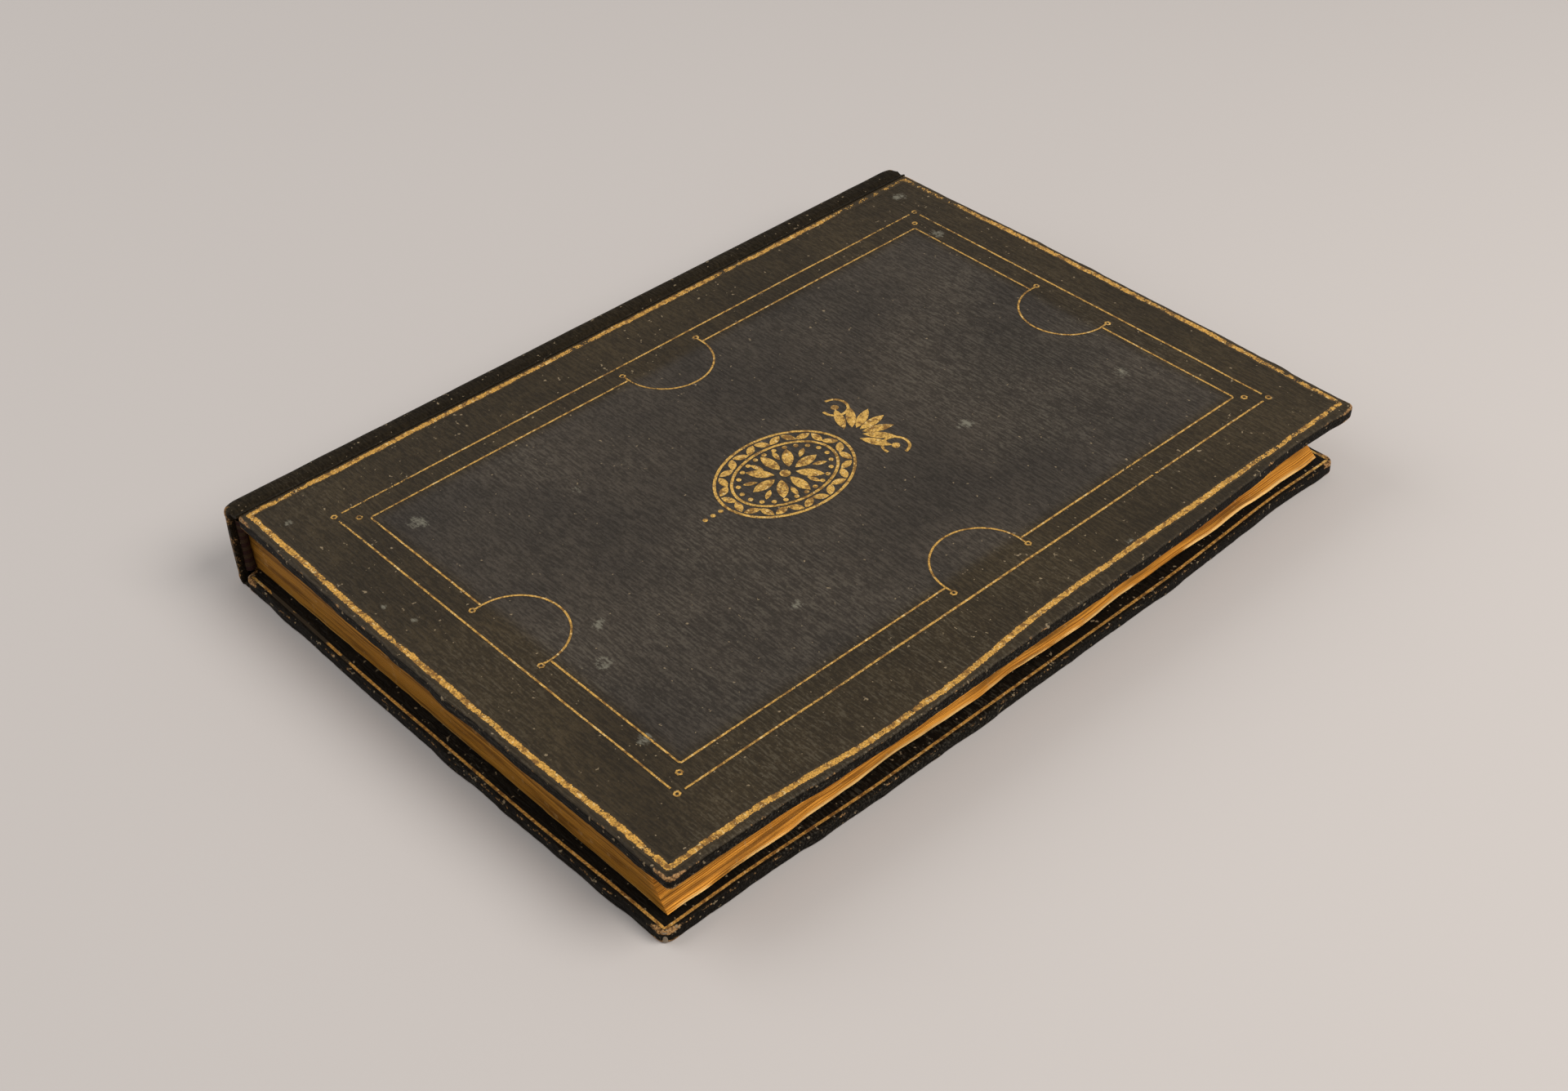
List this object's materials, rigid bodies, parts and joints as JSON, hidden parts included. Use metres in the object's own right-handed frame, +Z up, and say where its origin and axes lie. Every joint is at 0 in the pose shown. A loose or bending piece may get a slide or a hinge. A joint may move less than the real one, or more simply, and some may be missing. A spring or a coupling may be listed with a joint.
{
  "type": "leather book",
  "caption": "Closed leather-bound book with gold-tooled covers, gilt leaf edges and a flat spine; both covers open on joints along the spine.",
  "frame": {"origin": "under the middle of the closed book, on the surface that it lies on", "axes": "+X from the spine to the fore-edge, +Y from the tail to the head, +Z up through the front cover"},
  "size_m": [0.204, 0.2808, 0.0286],
  "materials": {
    "cover_leather": "straight-grained, worn, semi-matt",
    "spine_leather": "straight-grained, darkened, semi-matt",
    "gold_tooling": "worn gold leaf",
    "gilt_leaves": "burnished gilt edges",
    "endpaper": "aged laid paper",
    "pasteboard": "rough grey-brown board",
    "endband_silk": "silk thread wound in two colours",
    "hemp_cord": "twisted cord",
    "lining_cloth": "glued muslin"
  },
  "bodies": {
    "back_cover": {"back_board": "pasteboard", "back_leather": "cover_leather", "back_pastedown": "endpaper", "back_gilt_tooling": "gold_tooling", "back_turn_in_gilt": "gold_tooling"},
    "book_block": {"text_block": "gilt_leaves", "front_flyleaf": "endpaper", "back_flyleaf": "endpaper", "head_endband": "endband_silk", "tail_endband": "endband_silk", "sewing_cord_1": "hemp_cord", "sewing_cord_2": "hemp_cord", "sewing_cord_3": "hemp_cord", "sewing_cord_4": "hemp_cord", "sewing_cord_5": "hemp_cord", "spine_lining": "lining_cloth", "spine_inlay": "pasteboard", "spine_leather": "spine_leather"},
    "front_cover": {"front_board": "pasteboard", "front_leather": "cover_leather", "front_pastedown": "endpaper", "front_gilt_tooling": "gold_tooling", "front_gilt_stamp": "gold_tooling", "front_turn_in_gilt": "gold_tooling"}
  },
  "joints": [
    {"name": "back_cover_hinge", "type": "hinge", "parent": "back_cover", "child": "book_block", "pos_m": [-0.09655, 0, 0], "axis": [0, 1, 0], "range_deg": [-90, 0]},
    {"name": "front_cover_hinge", "type": "hinge", "parent": "book_block", "child": "front_cover", "pos_m": [-0.0952, 0, 0.0286], "axis": [0, -1, 0], "range_deg": [0, 180]}
  ]
}
